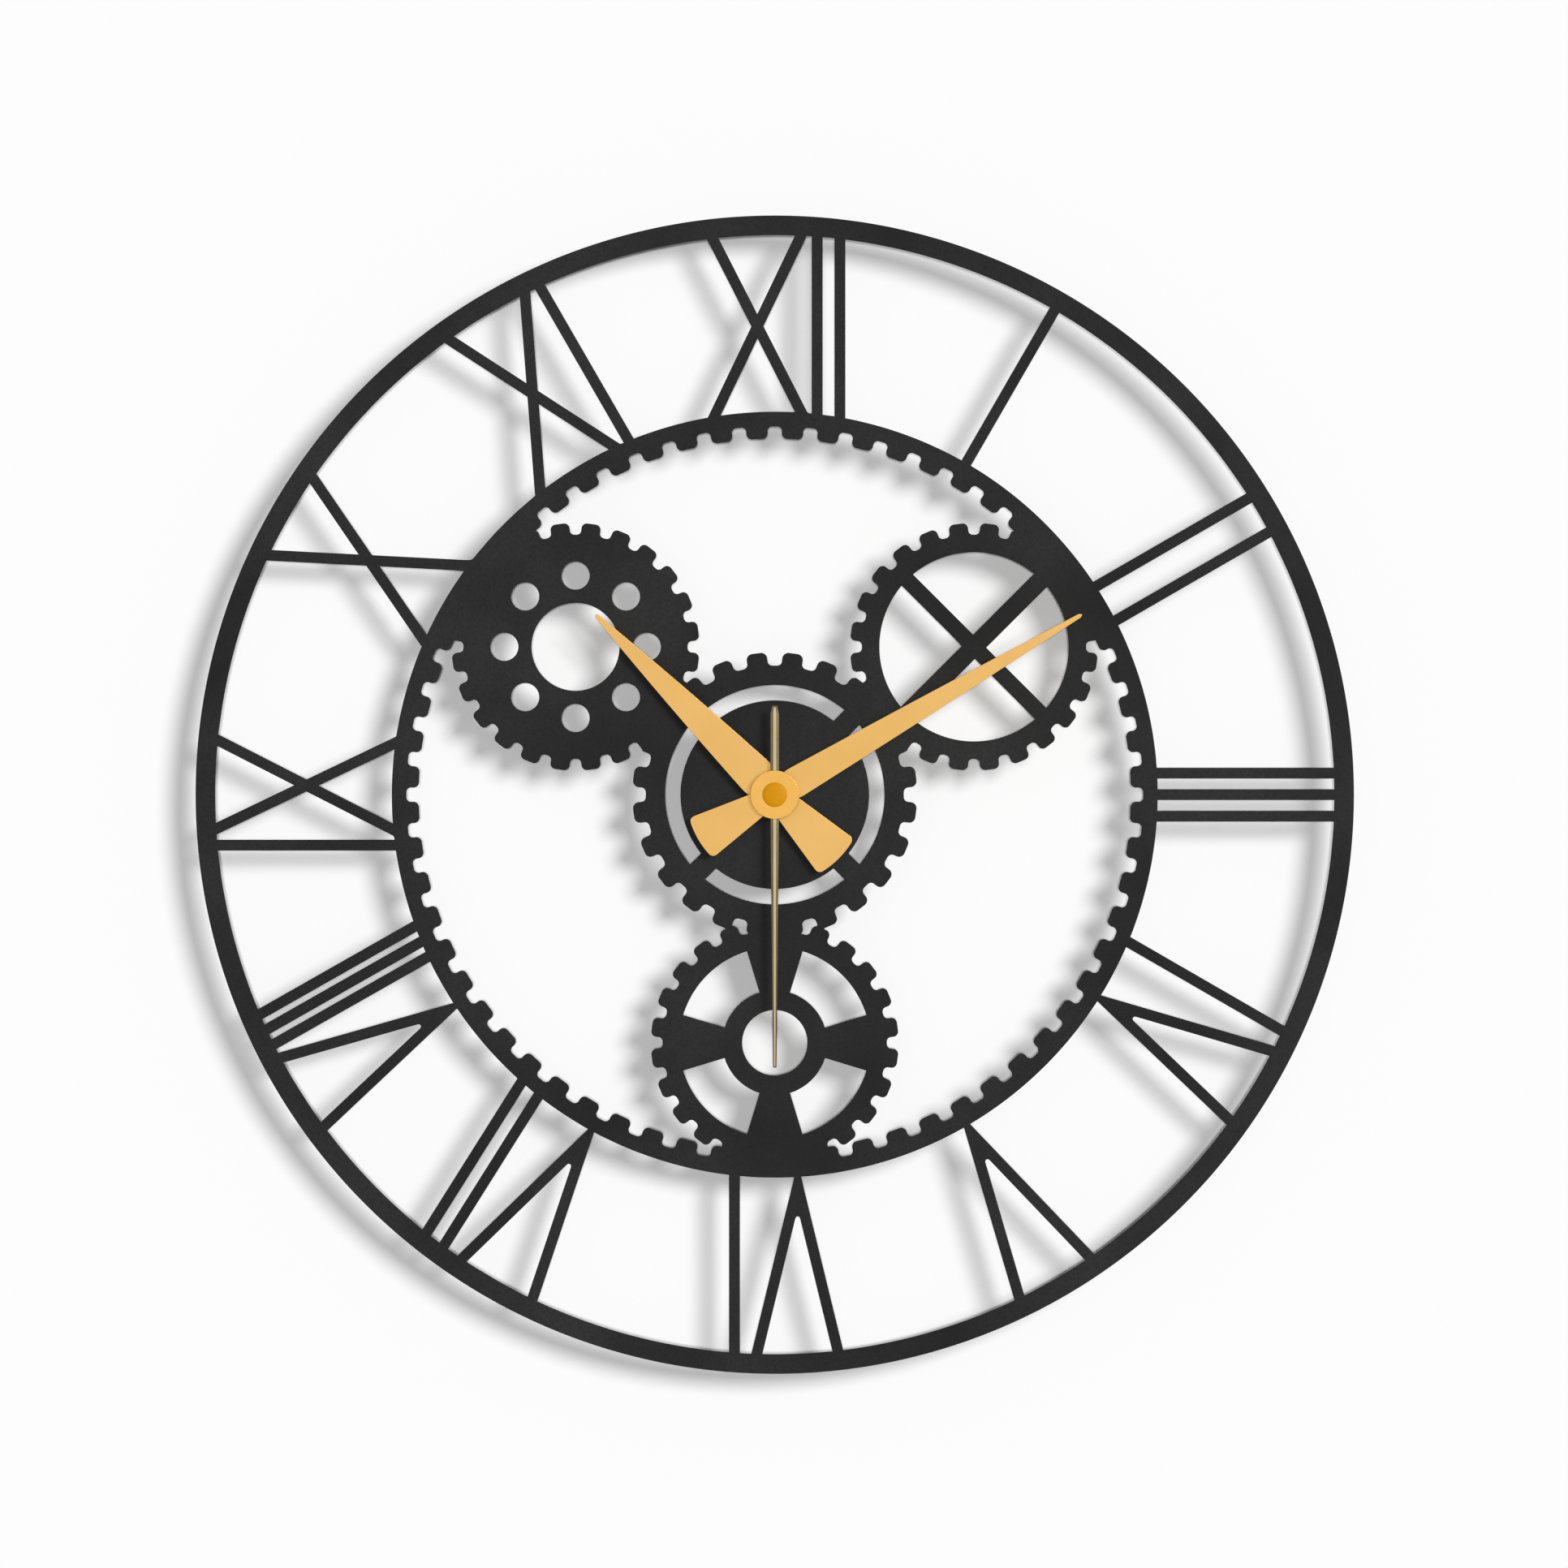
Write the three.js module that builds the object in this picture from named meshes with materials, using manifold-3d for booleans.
// A wall clock with an open dial cut from one steel sheet: a rim, twelve Roman numerals and a
// group of gears. Gold hands turn on a battery quartz movement behind the centre gear.
// Sizes are in millimetres. The clock is drawn face-on, with x to the right, y up and z forward
// from the wall, and the outer group then stands it up: +Z is up and +Y points into the wall.
import * as THREE from 'three';
import { mergeVertices } from 'three/addons/utils/BufferGeometryUtils.js';
import Module from 'manifold-3d';

// Dial sheet
const DIAL_DIAMETER = 500;
const RIM_WIDTH = 8.5;
const SHEET_THICKNESS = 2;
const SHEET_HOLE_CLEARANCE = 0.15;

// Teeth on the inside of the gear ring
const RING_OUTER_RADIUS = 165.3;
const RING_BAND = 6.35;
const RING_TEETH = 64;
const RING_TOOTH_DEPTH = 5.3;
const RING_TOOTH_WIDTH = 9.25;
const RING_TIP_ROUND = 2.45;
const RING_ROOT_ROUND = 2;

// Centre gear, with four curved slots
const CENTRE_TIP_RADIUS = 61.5;
const CENTRE_TEETH = 24;
const CENTRE_TOOTH_DEPTH = 5.8;
const CENTRE_TOOTH_WIDTH = 8.9;
const CENTRE_TIP_ROUND = 2.6;
const CENTRE_ROOT_ROUND = 1.9;
const SLOT_INNER_RADIUS = 40.75;
const SLOT_WIDTH = 6.65;
const SLOT_WEB_WIDTH = 9.2;
const SLOT_COUNT = 4;

// Three outer gears between the centre gear and the ring
const OUTER_GEAR_TEETH = 24;
const OUTER_GEAR_LAP = 7.42;
const OUTER_GEAR_INSET = 0.5;
const OUTER_GEAR_ANGLE = 53.42;
const OUTER_TOOTH_DEPTH = 5.1;
const OUTER_TOOTH_WIDTH = 8.25;
const OUTER_TIP_ROUND = 2.3;
const OUTER_ROOT_ROUND = 1.75;

// Cut-outs of the three outer gears
const DRILLED_CENTRE_RADIUS = 19.05;
const DRILLED_HOLE_RADIUS = 6.15;
const DRILLED_HOLE_CIRCLE = 30.75;
const DRILLED_HOLE_COUNT = 8;
const CROSS_RIM = 7.5;
const CROSS_WIDE_SPOKE = 8;
const CROSS_NARROW_SPOKE = 6.9;
const WHEEL_RIM = 7.07;
const WHEEL_HUB_RADIUS = 22.7;
const WHEEL_HUB_HOLE_RADIUS = 14.15;
const WHEEL_SPOKE_ANGLE = 33.8;
const WHEEL_SPOKES = 4;

// Teeth that the solid webs take in, counted on each of the two gears they join, and the part of
// a pitch by which a web runs past the middle of its last tooth
const SIDE_WEB_RING_TEETH = 5;
const SIDE_WEB_OUTER_TEETH = 5;
const SIDE_WEB_CENTRE_TEETH = 3;
const LOWER_WEB_RING_TEETH = 4;
const LOWER_WEB_CENTRE_TEETH = 2;
const WEB_OVERRUN = 0.14;

// Numerals
const STROKE_WIDTH = 4.7;
const CROSS_FOOT_SPREAD = 18.2;
const CROSS_TOP_SPREAD = 19.5;
const CROSS_LEAN = 0.6;
const VEE_TOP_SPREAD = 17.7;
const VEE_RISE = 3.5;
const VEE_CORNER_RADIUS = 1;
const BAR_PITCH = 9.3;
const CROSS_TO_BAR = 25.8;
const VEE_TO_BAR = 27.3;
const TWO_BAR_PITCH = 17;
const TWELVE_BAR_PITCH = 9.8;
const EIGHT_BAR_PITCH = 7.1;
const EIGHT_VEE_TO_BAR = 24.2;
const SEVEN_TILT = 2.2;
const EIGHT_TILT = 0.4;
const TWELVE_START = -7.5;
const FOUR_START = -21.2;
const FIVE_START = -0.4;
const SIX_START = -9.9;
const SEVEN_START = -10.2;
const EIGHT_START = -11.1;
const NINE_START = -21.8;
const ELEVEN_START = -4;

// Hands
const HAND_THICKNESS = 0.6;
const HAND_GAP = 1;
const HAND_HUB_RADIUS = 10.2;
const HOUR_LENGTH = 109.7;
const HOUR_ROOT_WIDTH = 16.8;
const HOUR_BOW = 0.5;
const HOUR_TAIL_LENGTH = 39;
const HOUR_TAIL_WIDTH = 21;
const HOUR_TAIL_ROOT_WIDTH = 12;
const HOUR_ANGLE = -44.9;
const MINUTE_LENGTH = 153.5;
const MINUTE_ROOT_WIDTH = 13.3;
const MINUTE_BOW = 0.25;
const MINUTE_TAIL_LENGTH = 38.2;
const MINUTE_TAIL_WIDTH = 19.4;
const MINUTE_TAIL_ROOT_WIDTH = 10;
const MINUTE_ANGLE = 59.6;
const HAND_TIP_WIDTH = 1.8;
const TAIL_CORNER_RADIUS = 2.4;
const HAND_NUT_RADIUS = 3;
const HAND_NUT_THICKNESS = 0.8;
const NEEDLE_LENGTH = 117.6;
const NEEDLE_TAIL_LENGTH = 38.3;
const NEEDLE_WIDTH = 3.6;
const NEEDLE_TIP_WIDTH = 1.5;
const NEEDLE_TAIL_TIP_WIDTH = 2.2;
const NEEDLE_THICKNESS = 0.7;
const NEEDLE_TOP_SHARE = 0.36; // width of its flat top as a share of its foot
const NEEDLE_EYE_RADIUS = 3.2;
const BOSS_RADIUS = 10.5;
const BOSS_THICKNESS = 0.5;
const BOSS_TUBE_RADIUS = 1.1;
const CAP_RADIUS = 5.3;
const CAP_HEIGHT = 1.2;

// Movement case and what clamps it to the sheet
const CASE_WALL = 1.35;
const CASE_FRONT_WALL = 1.2;
const CASE_CORNER_RADIUS = 3;
const COVER_THICKNESS = 1.5;
const COVER_GAP = 0.2;
const BAY_WALL = 1;
const NOTCH_WIDTH = 18;
const NOTCH_DEPTH = 6;
const BUSH_RADIUS = 3.95;
const BUSH_BORE_RADIUS = 2.75;
const BUSH_FLANGE_RADIUS = 5.5;
const BUSH_FLANGE_THICKNESS = 0.6;
const BUSH_PROUD = 0.6;
const HANGER_THICKNESS = 0.8;
const HANGER_WIDTH = 18;
const HANGER_RISE = 10;
const HANGER_WALL_GAP = 3;
const HANGER_SLOT_WIDTH = 9.5;
const HANGER_SLOT_HEIGHT = 5.2;
const HANGER_FOOT = 9;
const RUBBER_WASHER_RADIUS = 9;
const RUBBER_WASHER_THICKNESS = 1;
const FLAT_WASHER_RADIUS = 8;
const FLAT_WASHER_THICKNESS = 0.5;
const NUT_ACROSS_FLATS = 12;
const NUT_THICKNESS = 2;

// Battery and its contacts
const BATTERY_DIAMETER = 14.2;
const BATTERY_BODY_LENGTH = 49.2;
const BATTERY_BUTTON_RADIUS = 2.75;
const BATTERY_BUTTON_LENGTH = 1.3;
const BATTERY_EDGE = 0.5;
const BATTERY_SIDE_GAP = 0.5;
const BATTERY_END_GAP = 0.15;
const CONTACT_THICKNESS = 0.4;
const CONTACT_WIDTH = 8;
const CONTACT_TAB_WIDTH = 2;
const CONTACT_BUMP_RADIUS = 1.6;
const CONTACT_BUMP_HEIGHT = 0.3;
const CONTACT_LEAF_RISE = 1.4;

// Train: wheels, pinions and the arbors that carry them
const WHEEL_THICKNESS = 0.8;
const PINION_OVERHANG = 0.3;
const RUN_GAP = 0.3;
const FIT_GAP = 0.12;
const PIVOT_RADIUS = 0.3;
const PIVOT_CLEARANCE = 0.15;
const PIVOT_BOSS_RADIUS = 1.2;
const PIVOT_BOSS_HEIGHT = 1.5;
const ROTOR_PINION_TEETH = 8;
const FIFTH_WHEEL_TEETH = 40;
const FIFTH_PINION_TEETH = 8;
const SECOND_WHEEL_TEETH = 48;
const SECOND_PINION_TEETH = 8;
const THIRD_WHEEL_TEETH = 60;
const THIRD_PINION_TEETH = 8;
const CENTRE_WHEEL_TEETH = 64;
const MINUTE_PINION_TEETH = 12;
const MINUTE_WHEEL_TEETH = 36;
const MINUTE_WHEEL_PINION_TEETH = 10;
const HOUR_WHEEL_TEETH = 40;
const KNOB_PINION_TEETH = 12;
const ROTOR_MODULE = 0.28;
const SECOND_MODULE = 0.36;
const THIRD_MODULE = 0.3;
const MINUTE_MODULE = 0.4167;
const FIFTH_DIRECTION = 75;
const ROTOR_DIRECTION = 130;
const THIRD_DIRECTION = 150;
const MINUTE_WHEEL_DIRECTION = 20;
const KNOB_DIRECTION = 10;
const SECOND_ARBOR_RADIUS = 0.45;
const MINUTE_PIPE_RADIUS = 1.7;
const MINUTE_PIPE_BORE = 0.7;
const HOUR_PIPE_RADIUS = 2.5;
const HOUR_PIPE_BORE = 1.95;
const ARBOR_RADIUS = 0.6;
const MINUTE_POST_RADIUS = 0.75;
const CLUTCH_RADIUS = 3.4;
const CLUTCH_HEIGHT = 0.6;
const BRIDGE_THICKNESS = 0.6;
const BRIDGE_MARGIN = 2.4;
const BRIDGE_POST_RADIUS = 1.3;
const BRIDGE_PIN_RADIUS = 0.7;
const KNOB_RADIUS = 5.7;
const KNOB_THICKNESS = 2;
const KNOB_RECESS = 0.4;
const KNOB_ARBOR_RADIUS = 1;
const KNOB_RIBS = 20;
const KNOB_RIB_DEPTH = 0.25;
const KNOB_WELL_GAP = 0.4;
const KNOB_WELL_WALL = 0.8;

// Motor and circuit
const MAGNET_RADIUS = 2.8;
const MAGNET_THICKNESS = 1.4;
const STATOR_GAP = 0.6;
const STATOR_THICKNESS = 1;
const STATOR_RIM = 1;
const STATOR_BAR_DROP = 2.4;
const STATOR_EAR_WIDTH = 3.2;
const CORE_THICKNESS = 1;
const CORE_HEIGHT = 2.4;
const BOBBIN_LENGTH = 23;
const BOBBIN_FLANGE_RADIUS = 3;
const BOBBIN_FLANGE_THICKNESS = 1;
const BOBBIN_BARREL_RADIUS = 1.8;
const WINDING_INSET = 0.25;
const BOARD_THICKNESS = 1;
const BOARD_BACK_GAP = 1.2;
const BOARD_EDGE_GAP = 0.3;
const BOARD_ARM_HEIGHT = 4.5;
const BOARD_POST_RADIUS = 1.2;
const CHIP_RADIUS = 2.6;
const CHIP_HEIGHT = 1.1;
const CRYSTAL_RADIUS = 1;
const CRYSTAL_LENGTH = 6.5;

// Facets round a circle, by its size
const FINE_SIDES = 120;
const LARGE_SIDES = 56;
const MIDDLE_SIDES = 32;
const ROUND_SIDES = 20;
const SMALL_SIDES = 12;
const CORNER_STEPS = 4;
// A 45 degree facet across a square corner, drawn to touch the middle of the corner's round
const FACET_SHARE = 2 - Math.SQRT2;

const TURN = Math.PI * 2;
const QUARTER = Math.PI / 2;

const wasm = await Module();
wasm.setup();

// Angles on the dial run clockwise from twelve o'clock, in degrees
const radians = (degrees) => THREE.MathUtils.degToRad(degrees);
const point = (x, y) => new THREE.Vector2(x, y);
const dialPoint = (angle, radius) =>
  point(Math.sin(radians(angle)) * radius, Math.cos(radians(angle)) * radius);
const polar = (direction, radius) =>
  point(Math.cos(radians(direction)) * radius, Math.sin(radians(direction)) * radius);

// Turns a closed three.js geometry into a solid that can be joined and cut
function solidOf(geometry) {
  geometry.deleteAttribute('normal');
  geometry.deleteAttribute('uv');
  const merged = mergeVertices(geometry, 1e-5);
  return new wasm.Manifold(new wasm.Mesh({
    numProp: 3,
    vertProperties: new Float32Array(merged.attributes.position.array),
    triVerts: new Uint32Array(merged.index.array),
  }));
}

function geometryOf(solid) {
  const mesh = solid.getMesh();
  const geometry = new THREE.BufferGeometry();
  geometry.setAttribute('position', new THREE.BufferAttribute(mesh.vertProperties, 3));
  geometry.setIndex(new THREE.BufferAttribute(mesh.triVerts, 1));
  geometry.computeVertexNormals();
  return geometry;
}

const join = (...solids) => solids.reduce((whole, piece) => whole.add(piece));
const cut = (solid, ...tools) => tools.reduce((rest, tool) => rest.subtract(tool), solid);

// A flat outline of points, raised from one height to another
function slab(outline, back, front) {
  const settings = { depth: front - back, bevelEnabled: false };
  const geometry = new THREE.ExtrudeGeometry(new THREE.Shape(outline), settings);
  return solidOf(geometry.translate(0, 0, back));
}

function circle(radius, sides, centre = point(0, 0)) {
  const at = (step) => {
    const angle = (step * TURN) / sides;
    return point(centre.x + Math.cos(angle) * radius, centre.y + Math.sin(angle) * radius);
  };
  return Array.from({ length: sides }, (_, step) => at(step));
}

const disc = (radius, back, front, centre, sides = ROUND_SIDES) =>
  slab(circle(radius, sides, centre), back, front);

const collar = (outer, inner, back, front, centre, sides = ROUND_SIDES) =>
  cut(disc(outer, back, front, centre, sides), disc(inner, back - 1, front + 1, centre, sides));

function block(left, right, low, high, back, front) {
  const geometry = new THREE.BoxGeometry(right - left, high - low, front - back);
  geometry.translate((left + right) / 2, (low + high) / 2, (back + front) / 2);
  return solidOf(geometry);
}

// A closed profile of (radius, height) points, turned about the z axis
function turned(profile, sides = ROUND_SIDES) {
  return solidOf(new THREE.LatheGeometry(profile, sides).rotateX(QUARTER));
}

// A solid whose back and front outlines have the same number of points
function taperedSlab(backOutline, back, frontOutline, front) {
  const count = backOutline.length;
  const at = (outline, height) => outline.flatMap((corner) => [corner.x, corner.y, height]);
  const cap = THREE.ShapeUtils.triangulateShape(backOutline, []);
  const index = [];
  for (const [a, b, c] of cap) {
    index.push(c, b, a);
    index.push(count + a, count + b, count + c);
  }
  for (let here = 0; here < count; here += 1) {
    const next = (here + 1) % count;
    index.push(here, next, count + next);
    index.push(here, count + next, count + here);
  }
  const geometry = new THREE.BufferGeometry();
  const corners = new Float32Array([...at(backOutline, back), ...at(frontOutline, front)]);
  geometry.setAttribute('position', new THREE.BufferAttribute(corners, 3));
  geometry.setIndex(index);
  return solidOf(geometry);
}

const materials = {
  blackSheet: { color: 0x2e2e2e, roughness: 0.62, metalness: 0.2 },
  gold: { color: 0xe9ba69, roughness: 0.42, metalness: 0.6 },
  paleGold: { color: 0xc9b98f, roughness: 0.35, metalness: 0.8 },
  deepGold: { color: 0xda9611, roughness: 0.45, metalness: 0.4 },
  blackPlastic: { color: 0x1d1e20, roughness: 0.55, metalness: 0 },
  whitePlastic: { color: 0xe8e6df, roughness: 0.5, metalness: 0 },
  greyPlastic: { color: 0x8d8f92, roughness: 0.5, metalness: 0 },
  brass: { color: 0xc9a04a, roughness: 0.3, metalness: 1 },
  steel: { color: 0xb4b7ba, roughness: 0.35, metalness: 1 },
  darkSteel: { color: 0x5a5d61, roughness: 0.5, metalness: 1 },
  rubber: { color: 0x161616, roughness: 0.9, metalness: 0 },
  board: { color: 0x2f6b3c, roughness: 0.5, metalness: 0 },
  epoxy: { color: 0x0e0e10, roughness: 0.35, metalness: 0 },
  copper: { color: 0xa85a32, roughness: 0.35, metalness: 1 },
  batteryWrap: { color: 0x2b3a55, roughness: 0.35, metalness: 0.1 },
};

const face = new THREE.Group();
function addPart(name, solid, finish) {
  const mesh = new THREE.Mesh(geometryOf(solid), new THREE.MeshStandardMaterial(finish));
  mesh.name = name;
  face.add(mesh);
}

// Heights forward from the wall, through the train and out to the cap
const pinionFace = WHEEL_THICKNESS + 2 * PINION_OVERHANG;
const coverFront = COVER_THICKNESS;
const pivotFront = coverFront + PIVOT_BOSS_HEIGHT;
const fifthLevel = pivotFront + RUN_GAP;
const secondLevel = fifthLevel + pinionFace + RUN_GAP;
const bridgeBack = secondLevel + pinionFace + RUN_GAP;
const bridgeFront = bridgeBack + BRIDGE_THICKNESS;
const thirdLevel = bridgeFront + RUN_GAP;
const centreLevel = thirdLevel + pinionFace + RUN_GAP;
const clutchBack = centreLevel + PINION_OVERHANG + WHEEL_THICKNESS + FIT_GAP;
const minuteLevel = clutchBack + CLUTCH_HEIGHT + FIT_GAP;
const hourLevel = minuteLevel + pinionFace + RUN_GAP;
const flangeBack = hourLevel + pinionFace + RUN_GAP;
const trainFront = flangeBack + BUSH_FLANGE_THICKNESS;
const batteryNeed = BATTERY_DIAMETER + 2 * BATTERY_SIDE_GAP;
const caseInner = Math.max(trainFront, batteryNeed);
const caseFront = caseInner + CASE_FRONT_WALL;
const hangerFront = caseFront + HANGER_THICKNESS;
const sheetBack = hangerFront + RUBBER_WASHER_THICKNESS;
const sheetFront = sheetBack + SHEET_THICKNESS;
const nutBack = sheetFront + FLAT_WASHER_THICKNESS;
const nutFront = nutBack + NUT_THICKNESS;
const bushFront = nutFront + BUSH_PROUD;
const hourHandBack = bushFront + HAND_GAP;
const minuteHandBack = hourHandBack + HAND_THICKNESS + HAND_GAP;
const handNutBack = minuteHandBack + HAND_THICKNESS;
const handNutFront = handNutBack + HAND_NUT_THICKNESS;
const needleBack = handNutFront + RUN_GAP;
const bossBack = needleBack + NEEDLE_THICKNESS;
const bossFront = bossBack + BOSS_THICKNESS;

const wheelSpan = (level) => [level + PINION_OVERHANG, level + PINION_OVERHANG + WHEEL_THICKNESS];
const pinionSpan = (level) => [level, level + pinionFace];

// Outline of straight-sided teeth, their rounded tips and roots cut as single facets. Gaps lie on
// multiples of the pitch. Teeth point outward for facing = 1 and to the middle for facing = -1.
function toothedOutline({ teeth, tip, depth, width, tipRound, rootRound, facing = 1 }) {
  const root = tip - facing * depth;
  const gap = (root * TURN) / teeth - width;
  const fillet = FACET_SHARE * Math.min(rootRound, gap * 0.48, depth * 0.5);
  const facet = FACET_SHARE * Math.min(tipRound, width * 0.48, depth * 0.5);
  const half = width / 2;
  const heightAt = (radius, across) => Math.sqrt(radius * radius - across * across);
  const foot = heightAt(root, half + fillet);
  const top = heightAt(tip, half - facet);
  const side = [
    point(half + fillet, foot),
    point(half, foot + facing * fillet),
    point(half, top - facing * facet),
    point(half - facet, top),
  ];
  const tooth = [...side.map((corner) => point(-corner.x, corner.y)), ...side.reverse()];
  const outline = [];
  for (let count = 0; count < teeth; count += 1) {
    const lean = ((count + 0.5) * TURN) / teeth;
    outline.push(...tooth.map((corner) => corner.clone().rotateAround(point(0, 0), -lean)));
  }
  return outline;
}

// Dial sheet
const dialRadius = DIAL_DIAMETER / 2;
const rimInner = dialRadius - RIM_WIDTH;
const ringRoot = RING_OUTER_RADIUS - RING_BAND;
const ringTip = ringRoot - RING_TOOTH_DEPTH;
const centreRoot = CENTRE_TIP_RADIUS - CENTRE_TOOTH_DEPTH;
const outerGearDistance = (ringTip + CENTRE_TIP_RADIUS) / 2 - OUTER_GEAR_INSET;
const outerGearTip = (ringTip - CENTRE_TIP_RADIUS) / 2 + OUTER_GEAR_LAP;
const outerGearRoot = outerGearTip - OUTER_TOOTH_DEPTH;
const throughSheet = (outline) => slab(outline, sheetBack - 1, sheetFront + 1);
const inSheet = (outline) => slab(outline, sheetBack, sheetFront);

// Radii inside the gear ring and the rim, at which the strokes of a numeral end
const strokeFoot = RING_OUTER_RADIUS - RING_BAND / 2;
const strokeTop = rimInner + RIM_WIDTH / 2;

// Where a line comes out through a circle about the dial's middle
function outwardAt(radius, from, along) {
  const closest = from.clone().addScaledVector(along, -from.dot(along));
  const reach = Math.sqrt(radius * radius - closest.lengthSq());
  return closest.addScaledVector(along, reach);
}

// One straight stroke: the line through two points, run on into the rim and the gear ring
function stroke(from, to) {
  const along = to.clone().sub(from).normalize();
  const start = outwardAt(strokeFoot, from, along);
  const end = outwardAt(strokeTop, from, along);
  const aside = point(-along.y, along.x).multiplyScalar(STROKE_WIDTH / 2);
  return inSheet([
    start.clone().add(aside),
    start.clone().sub(aside),
    end.clone().sub(aside),
    end.clone().add(aside),
  ]);
}

// A V is one outline: its outer edges run to a point inside the gear ring, and its inner edges
// into a small curve
function vee(across, place) {
  const crossing = RING_OUTER_RADIUS + VEE_RISE;
  const lean = Math.atan(VEE_TOP_SPREAD / (rimInner - crossing));
  const toPoint = STROKE_WIDTH / 2 / Math.sin(lean);
  const curveHeight = crossing + toPoint + VEE_CORNER_RADIUS / Math.sin(lean);
  const outerPoint = place(across, crossing - toPoint);
  const innerPoint = place(across, crossing + toPoint);
  const along = (side) => place(side * Math.sin(lean), Math.cos(lean));
  const curve = [];
  for (let step = 0; step <= CORNER_STEPS; step += 1) {
    const angle = -lean - ((Math.PI - 2 * lean) * step) / CORNER_STEPS;
    curve.push(place(
      across + VEE_CORNER_RADIUS * Math.cos(angle),
      curveHeight + VEE_CORNER_RADIUS * Math.sin(angle),
    ));
  }
  return inSheet([
    outwardAt(strokeFoot, outerPoint, along(1)),
    outwardAt(strokeTop, outerPoint, along(1)),
    outwardAt(strokeTop, innerPoint, along(1)),
    ...curve,
    outwardAt(strokeTop, innerPoint, along(-1)),
    outwardAt(strokeTop, outerPoint, along(-1)),
    outwardAt(strokeFoot, outerPoint, along(-1)),
  ]);
}

// Pieces of a letter that stands some way across the numeral's radius. An X leans by moving its
// feet one way and its tops the other.
const letterOf = {
  I: (across, place) => [stroke(place(across, RING_OUTER_RADIUS), place(across, rimInner))],
  V: (across, place) => [vee(across, place)],
  X: (across, place, lean) => [-1, 1].map((side) => stroke(
    place(across - side * CROSS_FOOT_SPREAD + lean, RING_OUTER_RADIUS),
    place(across + side * CROSS_TOP_SPREAD - lean, rimInner),
  )),
};

// Letters are set side by side from the first one's place across the numeral's radius
function numeral({
  hour, letters, start = 0, tilt = 0, lean = CROSS_LEAN, barPitch = BAR_PITCH, veeToBar = VEE_TO_BAR,
}) {
  const pitch = { II: barPitch, VI: veeToBar, IV: veeToBar, XI: CROSS_TO_BAR, IX: CROSS_TO_BAR };
  const turn = -radians(hour * 30 + tilt);
  const place = (across, height) => point(across, height).rotateAround(point(0, 0), turn);
  const pieces = [];
  let across = start;
  for (let count = 0; count < letters.length; count += 1) {
    if (count > 0) {
      across += pitch[letters[count - 1] + letters[count]];
    }
    pieces.push(...letterOf[letters[count]](across, place, lean));
  }
  return join(...pieces);
}

const numerals = [
  { hour: 12, letters: 'XII', start: TWELVE_START, barPitch: TWELVE_BAR_PITCH },
  { hour: 1, letters: 'I' },
  { hour: 2, letters: 'II', start: -TWO_BAR_PITCH / 2, barPitch: TWO_BAR_PITCH },
  { hour: 3, letters: 'III', start: -BAR_PITCH },
  { hour: 4, letters: 'IV', start: FOUR_START },
  { hour: 5, letters: 'V', start: FIVE_START },
  { hour: 6, letters: 'VI', start: SIX_START },
  { hour: 7, letters: 'VII', start: SEVEN_START, tilt: SEVEN_TILT },
  {
    hour: 8, letters: 'VIII', start: EIGHT_START, tilt: EIGHT_TILT,
    barPitch: EIGHT_BAR_PITCH, veeToBar: EIGHT_VEE_TO_BAR,
  },
  { hour: 9, letters: 'IX', start: NINE_START, lean: -CROSS_LEAN },
  { hour: 10, letters: 'X' },
  { hour: 11, letters: 'XI', start: ELEVEN_START },
];

function gearRing() {
  const teeth = toothedOutline({
    teeth: RING_TEETH, tip: ringTip, depth: RING_TOOTH_DEPTH, width: RING_TOOTH_WIDTH,
    tipRound: RING_TIP_ROUND, rootRound: RING_ROOT_ROUND, facing: -1,
  });
  return cut(inSheet(circle(RING_OUTER_RADIUS, FINE_SIDES)), throughSheet(teeth));
}

function centreGear() {
  const teeth = toothedOutline({
    teeth: CENTRE_TEETH, tip: CENTRE_TIP_RADIUS, depth: CENTRE_TOOTH_DEPTH,
    width: CENTRE_TOOTH_WIDTH, tipRound: CENTRE_TIP_ROUND, rootRound: CENTRE_ROOT_ROUND,
  });
  const slotOuter = SLOT_INNER_RADIUS + SLOT_WIDTH;
  const slotRing = cut(throughSheet(circle(slotOuter, LARGE_SIDES)),
    throughSheet(circle(SLOT_INNER_RADIUS, LARGE_SIDES)));
  const webs = [];
  for (let count = 0; count < SLOT_COUNT / 2; count += 1) {
    webs.push(bar(((count + 0.5) * 360) / SLOT_COUNT, slotOuter + 1, SLOT_WEB_WIDTH));
  }
  return cut(inSheet(teeth), cut(slotRing, ...webs));
}

// A straight bar across a gear's middle, tall enough to trim what cuts through the sheet
function bar(angle, reach, width) {
  const ends = [[-1, -1], [1, -1], [1, 1], [-1, 1]];
  const corner = ([across, along]) => point((across * width) / 2, along * reach);
  const lean = -radians(angle);
  return throughSheet(ends.map((end) => corner(end).rotateAround(point(0, 0), lean)));
}

const outerTeeth = () => inSheet(toothedOutline({
  teeth: OUTER_GEAR_TEETH, tip: outerGearTip, depth: OUTER_TOOTH_DEPTH, width: OUTER_TOOTH_WIDTH,
  tipRound: OUTER_TIP_ROUND, rootRound: OUTER_ROOT_ROUND,
}));

function drilledGear() {
  const holes = [throughSheet(circle(DRILLED_CENTRE_RADIUS, MIDDLE_SIDES))];
  for (let count = 0; count < DRILLED_HOLE_COUNT; count += 1) {
    const centre = dialPoint((count * 360) / DRILLED_HOLE_COUNT, DRILLED_HOLE_CIRCLE);
    holes.push(throughSheet(circle(DRILLED_HOLE_RADIUS, ROUND_SIDES, centre)));
  }
  return cut(outerTeeth(), ...holes);
}

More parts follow.
